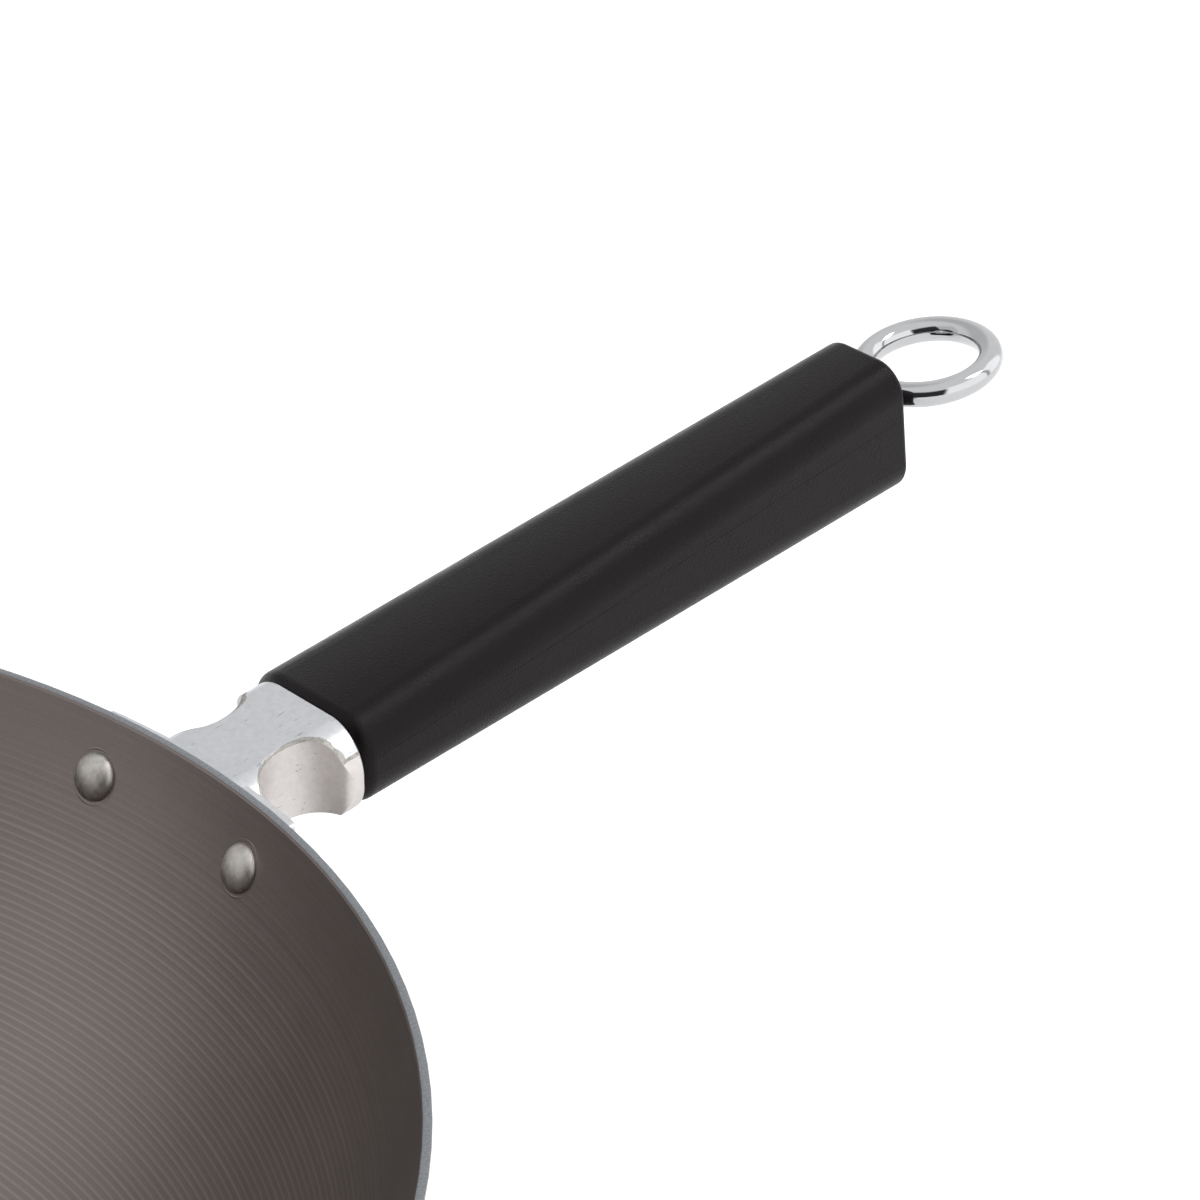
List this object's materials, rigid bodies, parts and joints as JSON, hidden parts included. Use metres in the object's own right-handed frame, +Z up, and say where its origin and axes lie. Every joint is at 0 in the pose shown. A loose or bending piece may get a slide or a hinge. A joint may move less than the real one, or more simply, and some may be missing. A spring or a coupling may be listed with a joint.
{
  "type": "carbon steel wok",
  "caption": "Flat-bottomed spun carbon steel wok with a riveted long black grip, a turning chrome hanging eye and a helper handle opposite.",
  "frame": {"origin": "middle of the flat base's underside, where the wok stands", "axes": "+Z up out of the bowl, +X along the long handle, +Y to its left seen from the bowl"},
  "size_m": [0.601, 0.356, 0.1304],
  "materials": {
    "carbon_steel": "spun carbon steel, dark and satin, with fine concentric grooves",
    "cast_aluminium": "satin casting with polished corners",
    "rivet_steel": "satin",
    "phenolic": "black moulding with a fine satin grain",
    "chrome_steel": "bright plating",
    "screw_steel": "satin"
  },
  "bodies": {
    "wok": {"wok_body": "carbon_steel", "handle_bracket": "cast_aluminium", "handle_rivets": "rivet_steel", "handle_grip": "phenolic", "eye_washer": "chrome_steel", "helper_bracket": "cast_aluminium", "helper_rivets": "rivet_steel", "helper_grip": "phenolic", "helper_screw": "screw_steel"},
    "eye_bolt": {"hanging_eye_bolt": "chrome_steel"}
  },
  "joints": [
    {"name": "eye_bolt_turn", "type": "hinge", "parent": "wok", "child": "eye_bolt", "pos_m": [0.2033, 0, 0.0965], "axis": [0.9874, 0, 0.1584], "continuous": true}
  ]
}
